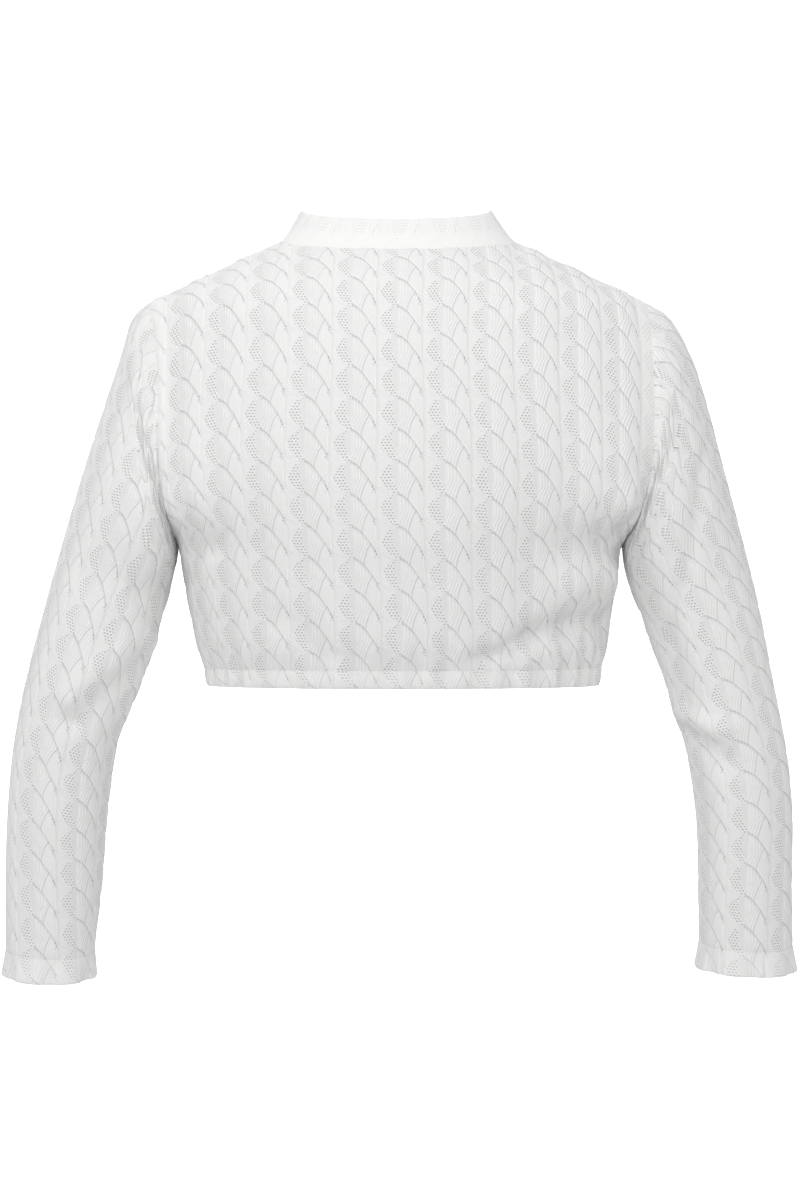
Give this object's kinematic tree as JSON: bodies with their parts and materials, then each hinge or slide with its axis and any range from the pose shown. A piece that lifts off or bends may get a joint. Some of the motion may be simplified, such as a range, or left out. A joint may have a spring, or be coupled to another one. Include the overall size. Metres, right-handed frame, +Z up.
{
  "type": "dirndl blouse",
  "caption": "White long-sleeved dirndl blouse in raised cable lace, cropped, with a low stand collar, gathered hem casing and turned cuffs, filled out as if worn.",
  "frame": {"origin": "middle of the neck opening, level with the top of the shoulders beside the collar", "axes": "+Z up, +X to the wearer's left, +Y to the back, the front faces -Y"},
  "size_m": [0.6366, 0.268, 0.6175],
  "materials": {
    "cable_lace": "matte knitted lace with raised cables",
    "doubled_lace": "matte knitted lace in two layers",
    "button": "satin moulded button"
  },
  "bodies": {
    "root": {"back": "cable_lace", "front_left": "cable_lace", "front_right": "cable_lace", "sleeve_left": "cable_lace", "sleeve_right": "cable_lace", "collar_stand": "doubled_lace", "hem_casing": "doubled_lace", "cuff_hem_left": "doubled_lace", "cuff_hem_right": "doubled_lace", "button_band": "doubled_lace", "button_1": "button", "button_2": "button", "button_3": "button", "button_4": "button", "button_5": "button", "button_6": "button"}
  },
  "joints": []
}
